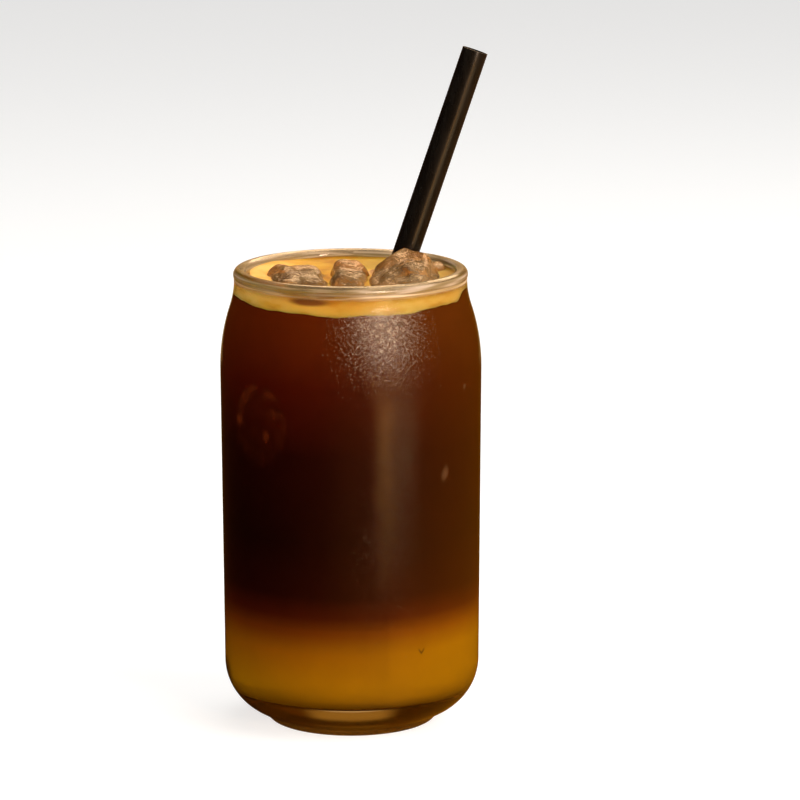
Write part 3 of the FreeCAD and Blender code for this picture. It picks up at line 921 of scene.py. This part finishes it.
# painted light and sheen across X: the foam is made much brighter on its shaded left, and less red
# and bluer right of the middle
paintedLightAcross = ramp(tree, sideways.outputs["Result"], [
    (0.0, (1.34, 1.6, 2.2)), (0.3, (1.1, 1.2, 1.2)), (0.5, (0.95, 1, 0.85)),
    (0.72, (0.86, 1.08, 1.5)), (1.0, (0.8, 0.88, 1.1))])
toned = add(tree, "ShaderNodeMix", data_type="RGBA", blend_type="MULTIPLY")
toned.inputs["Factor"].default_value = 1.0
tree.links.new(ochre.outputs[2], toned.inputs[6])
tree.links.new(paintedLightAcross, toned.inputs[7])
tree.links.new(toned.outputs[2], stained.inputs[6])
stained.inputs[7].default_value = (0.28, 0.1, 0.02, 1)
tree.links.new(stained.outputs[2], shader.inputs["Base Color"])
pores = useGroup(tree, cloud, Scale=1500.0)
bump = add(tree, "ShaderNodeBump", Strength=0.2, Distance=0.0002)
tree.links.new(pores.outputs["Height"], bump.inputs["Height"])
tree.links.new(bump.outputs["Normal"], shader.inputs["Normal"])
# the hollows round ice and straw are soaked with coffee
soaked, tree, shader = newMaterial("soakedHollow")
shader.inputs["Roughness"].default_value = 0.5
shader.inputs["Specular IOR Level"].default_value = 0.2
patchy = useGroup(tree, cloud, Scale=150.0, Low=0.28, High=0.75)
soak = ramp(tree, patchy.outputs["Mask"], [
    (0.0, (0.2, 0.09, 0.022)), (0.5, (0.42, 0.22, 0.06)), (1.0, (0.68, 0.38, 0.12))])
tree.links.new(soak, shader.inputs["Base Color"])
crema.data.materials.clear()
crema.data.materials.append(cremaFinish)
crema.data.materials.append(soaked)
bottom = (low + d["dome"] + d["ripple"] + 0.05) * mm
for face in crema.data.polygons:
    spot = face.center
    upDown = abs(face.normal.z) > 0.9 and (spot.z < bottom or spot.z > (d["level"] - 0.2) * mm)
    face.material_index = 0 if upDown or spot.xy.length > 30.4 * mm else 1
coffee.data.materials.append(soaked)
for face in coffee.data.polygons:
    spot = face.center
    outside = spot.xy.normalized().dot(face.normal.xy) > 0.9 and spot.xy.length > 30.5 * mm
    if spot.z > 80 * mm and spot.z < (low - 0.05) * mm and not outside:
        face.material_index = 1
print("drink: juice %d, coffee %d, crema %d faces" % (
    len(juice.data.polygons), len(coffee.data.polygons), len(crema.data.polygons)))


# what shows just under the surface of the drink, at the wall of the glass: each patch is
# a skin that lies on the drink, and its strength fades to nothing at its edge
def wallPatch(name, bearings, heights, strength, slot):
    bm = bmesh.new()
    bmesh.ops.create_grid(bm, x_segments=60, y_segments=60, size=0.5)
    show = bm.verts.layers.float.new("show")
    for vert in bm.verts:
        bearing = bearings[0] + (vert.co.x + 0.5) * (bearings[1] - bearings[0])
        z = heights[0] + (vert.co.y + 0.5) * (heights[1] - heights[0])
        edge = soft(abs(vert.co.x), 0.5, 0.4) * soft(abs(vert.co.y), 0.5, 0.4)
        vert[show] = edge * strength(bearing, z)
        a = math.radians(bearing)
        out = d["juiceRadius"] + (z - d["juiceTop"]) * d["wallLean"] + reach + 0.04
        vert.co = Vector((math.sin(a) * out, -math.cos(a) * out, z)) * mm
    bmesh.ops.delete(
        bm, geom=[f for f in bm.faces if max(v[show] for v in f.verts) < 0.01], context="FACES")
    return keepMesh(bm, name, slot=slot)


def patchFinish(name, dark, light, strength):
    made, tree, shader = newMaterial(name)
    shader.inputs["Roughness"].default_value = 0.6
    shader.inputs["Specular IOR Level"].default_value = 0.05
    mottled = useGroup(tree, cloud, Scale=240.0, Low=0.3, High=0.7)
    tone = ramp(tree, mottled.outputs["Mask"], [(0.0, dark), (1.0, light)])
    tree.links.new(tone, shader.inputs["Base Color"])
    show = add(tree, "ShaderNodeAttribute", attribute_name="show")
    fade = add(tree, "ShaderNodeMath", operation="MULTIPLY")
    fade.inputs[1].default_value = strength
    tree.links.new(show.outputs["Fac"], fade.inputs[0])
    tree.links.new(fade.outputs[0], shader.inputs["Alpha"])
    return made


def sunkBlock(bearing, z):
    # the rounded top corner of a block of ice, with a pale spot inside it
    across, high = (bearing + 46) * 0.63, z - 91.5
    ring = math.hypot(across / 9.5, high / 12.5)
    arc = soft(abs(ring - 0.88), 0.3, 0.05) * soft(high, -8, 5)
    body = 0.25 * soft(ring, 1.0, 0.8)
    spot = 0.9 * soft(math.hypot(across - 3.3, (high + 1.5) / 1.4), 2.2, 0.2)
    cloudy = 0.6 + 1.1 * noise.noise(Vector((across, high, 3)) * 0.32)
    return min(max(arc * cloudy, body * cloudy, spot), 1)


def paleBlot(bearing, z):
    across, high = (bearing - 47.4) * 0.63, z - 78.2
    return soft(math.hypot((across - 0.2 * high) / 1.7, high / 2.9), 1.1, 0.3)


def paleSpot(bearing, z):
    return soft(math.hypot((bearing - 61.8) * 0.63, z - 102.2), 1.3, 0.3)


def juiceFleck(bearing, z):
    across, high = (bearing - 34.1) * 0.63, z - 27.1
    return soft(abs(abs(across) * 1.3 - high - 0.6), 0.5, 0.1) * soft(abs(across), 1.2, 0.6)


def juiceShade(bearing, z):
    return soft(math.hypot((bearing + 82) / 12, (z - 15.5) / 5), 1, 0.2)


sunkIce = wallPatch("sunk_ice_left", (-66, -26), (78, 106), sunkBlock, "ice")
sunkIce.data.materials.append(
    patchFinish("iceInCoffee", srgb(62, 15, 1), srgb(92, 32, 5), 0.85))
for name, bearings, heights, strength in (
        ("pale_blot", (43, 52), (74, 83), paleBlot),
        ("pale_spot", (58, 66), (100, 105), paleSpot)):
    blot = wallPatch(name, bearings, heights, strength, "coffee")
    blot.data.materials.append(patchFinish(name, srgb(88, 54, 30), srgb(108, 70, 44), 0.5))
fleck = wallPatch("juice_fleck", (30, 38), (25, 29.5), juiceFleck, "juice")
fleck.data.materials.append(patchFinish("juiceFleck", srgb(60, 28, 2), srgb(90, 44, 2), 0.7))
shade = wallPatch("juice_shade", (-100, -66), (10, 22), juiceShade, "juice")
shade.data.materials.append(patchFinish("juiceShade", srgb(50, 26, 1), srgb(74, 40, 1), 0.6))
print("drink: patches at the wall done")


# fine drops of condensation on the outside of the shoulder, thinning out down the wall; pale and
# bunched only where the window's sheen falls, they are partly painted sheen
dropPatch = {"shoulder": 8000, "trail": 900, "bunches": 20, "seed": 11}


def wallRadius(z):
    # the outside of the glass at a height, all in millimetres
    if z > g["wallTop"][1]:
        reach = math.sqrt(57 ** 2 - (z - g["shoulder"][1]) ** 2)
        return g["shoulder"][0] + reach
    return 37.3 + (z - 17.63) * 0.0076


def dropAt(bm, bearing, z, radius, flat, long=1.0, tilt=0.0):
    # a small flattened bead that sits on the wall
    a = math.radians(bearing)
    out = Vector((math.sin(a), -math.cos(a), 0))
    place = out * wallRadius(z) + Vector((0, 0, z))
    turn = Matrix.Rotation(a, 4, "Z") @ Matrix.Rotation(math.radians(tilt), 4, "Y")
    shape = Matrix.Diagonal((radius * long, radius * flat, radius, 1))
    bmesh.ops.create_icosphere(
        bm, subdivisions=1, radius=1,
        matrix=Matrix.Scale(mm, 4) @ Matrix.Translation(place) @ turn @ shape)


chance = random.Random(dropPatch["seed"])
bm = bmesh.new()
for bunch in range(dropPatch["bunches"]):
    some = bmesh.new()
    for i in range(dropPatch["shoulder"] // dropPatch["bunches"]):
        bearing, z = chance.gauss(16.5, 9.5), 125.8 - abs(chance.gauss(0, 8))
        if -12 < bearing < 44 and z > 100:
            dropAt(some, bearing, z, chance.uniform(0.05, 0.12), 0.35)
    for i in range(dropPatch["trail"] // dropPatch["bunches"]):
        bearing, z = chance.gauss(16, 8), chance.gauss(58, 11)
        if -4 < bearing < 38:
            dropAt(some, bearing, z, chance.uniform(0.03, 0.08), 0.35)
    batch = bpy.data.meshes.new("bunch")
    some.to_mesh(batch)
    some.free()
    bm.from_mesh(batch)
    bpy.data.meshes.remove(batch)
# fine scratches with a few brighter grains, their paleness a painted highlight
for bearing, z, thick, long, tilt in (
        (12.0, 84.3, 0.05, 7, 2), (14.6, 84.1, 0.11, 2, 0), (15.4, 84.2, 0.09, 3, 0),
        (17.6, 83.7, 0.05, 9, 6), (20.6, 83.5, 0.08, 3, 0), (21.8, 83.6, 0.05, 6, -3),
        (16.7, 107.6, 0.06, 8, 25), (20, 106.2, 0.06, 9, 28), (25, 103.4, 0.06, 8, 30)):
    dropAt(bm, bearing, z, thick, 0.5, long, tilt)
drops = keepMesh(bm, "condensation", slot="clear_glass")
dropFinish, tree, shader = newMaterial("dropGlint")
shader.inputs["Roughness"].default_value = 0.25
specks = useGroup(tree, cloud, Scale=900.0, Low=0.3, High=0.7)
# pale specks: painted glints on the drops and scratches
pale = ramp(tree, specks.outputs["Mask"], [(0.0, (0.24, 0.15, 0.08)), (1.0, (0.72, 0.53, 0.38))])
tree.links.new(pale, shader.inputs["Base Color"])
shader.inputs["Alpha"].default_value = 0.42
drops.data.materials.append(dropFinish)
print("condensation: %d faces" % len(drops.data.polygons))
